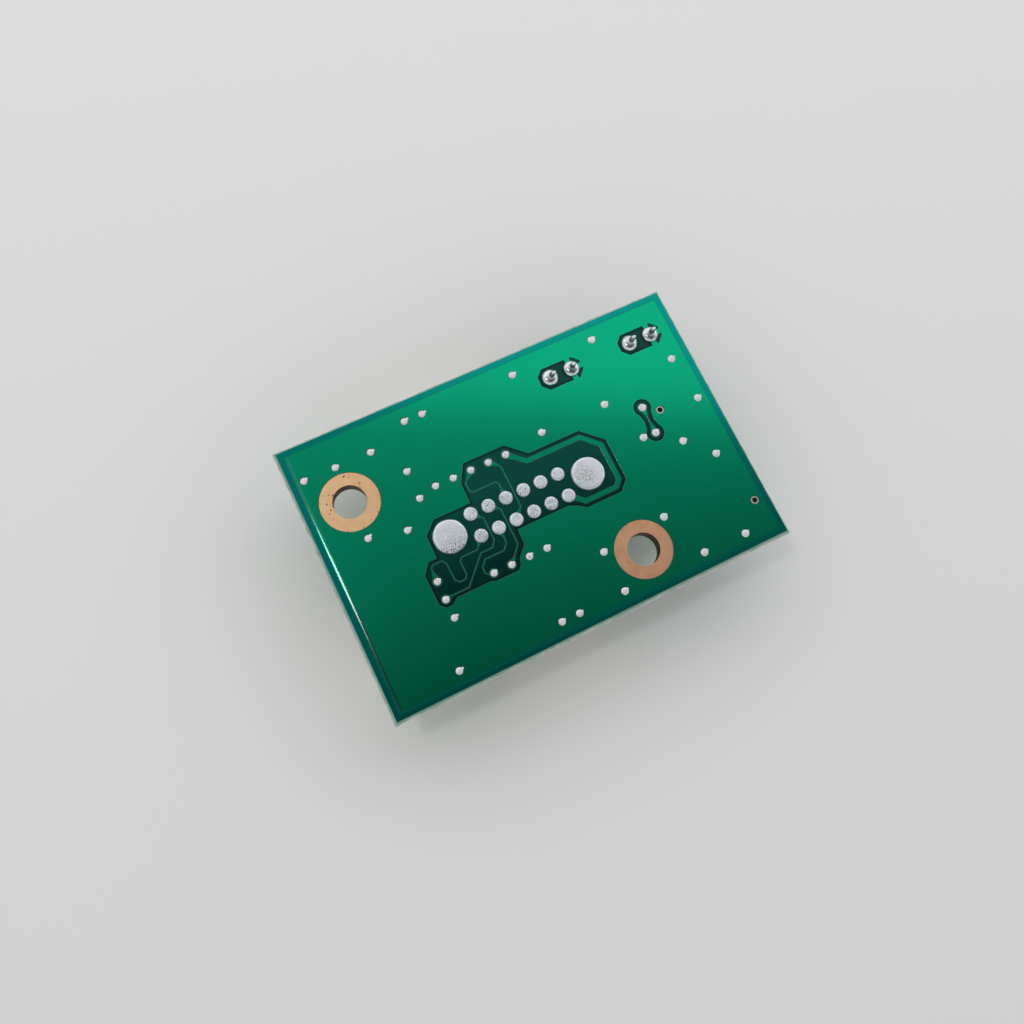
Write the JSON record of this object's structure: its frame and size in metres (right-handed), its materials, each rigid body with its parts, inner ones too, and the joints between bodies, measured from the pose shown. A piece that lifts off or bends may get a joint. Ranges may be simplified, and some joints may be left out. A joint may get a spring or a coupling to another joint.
{
  "type": "camera relay board",
  "caption": "Small green relay board, solder side up: two-row header and edge connectors underneath, bare copper rings round its screw holes.",
  "frame": {"origin": "middle of the board's outline, on the plane of the main header's rim, on which the part stands", "axes": "+X along the board's long side, +Y along its short side, +Z out of the solder side"},
  "size_m": [0.0452, 0.0302, 0.0104],
  "materials": {
    "laminate": "glass-epoxy with scored, fibrous edges",
    "foil": "etched copper foil under the mask",
    "solder_mask": "glossy green liquid mask",
    "bare_copper": "bare copper, dulled and a little spotted",
    "via_solder": "tinned dot",
    "solder": "satin grained solder",
    "header_plastic": "natural moulded nylon",
    "pin_plating": "tinned brass",
    "post_plating": "tinned brass",
    "can": "drawn aluminium",
    "sleeve": "shrunk plastic sleeve",
    "seal": "moulded rubber",
    "lead_wire": "tinned wire",
    "socket_plastic": "natural moulded nylon",
    "contact_plating": "tinned brass"
  },
  "bodies": {
    "root": {"laminate": "laminate", "ground_plane": "foil", "signal_tracks": "foil", "component_side_lands": "foil", "solder_side_mask": "solder_mask", "component_side_mask": "solder_mask", "copper_ring_left": "bare_copper", "copper_ring_right": "bare_copper", "stitching_vias": "via_solder", "signal_vias": "via_solder", "open_vias": "via_solder", "pin_joints_far_row": "solder", "pin_joints_near_row": "solder", "post_joint_left": "solder", "post_joint_right": "solder", "capacitor_1_joints": "solder", "capacitor_2_joints": "solder", "header_housing": "header_plastic", "header_pin_1": "pin_plating", "header_pin_2": "pin_plating", "header_pin_3": "pin_plating", "header_pin_4": "pin_plating", "header_pin_5": "pin_plating", "header_pin_6": "pin_plating", "header_pin_7": "pin_plating", "header_pin_8": "pin_plating", "header_pin_9": "pin_plating", "header_pin_10": "pin_plating", "header_pin_11": "pin_plating", "header_pin_12": "pin_plating", "header_post_left": "post_plating", "header_post_right": "post_plating", "capacitor_1_can": "can", "capacitor_2_can": "can", "capacitor_1_sleeve": "sleeve", "capacitor_2_sleeve": "sleeve", "capacitor_1_seal": "seal", "capacitor_2_seal": "seal", "capacitor_1_left_lead": "lead_wire", "capacitor_1_right_lead": "lead_wire", "capacitor_2_left_lead": "lead_wire", "capacitor_2_right_lead": "lead_wire", "five_way_housing": "socket_plastic", "four_way_housing": "socket_plastic", "three_way_housing": "socket_plastic", "five_way_contacts": "contact_plating", "five_way_tabs": "contact_plating", "four_way_contacts": "contact_plating", "four_way_tabs": "contact_plating", "three_way_contacts": "contact_plating", "three_way_tabs": "contact_plating"}
  },
  "joints": []
}
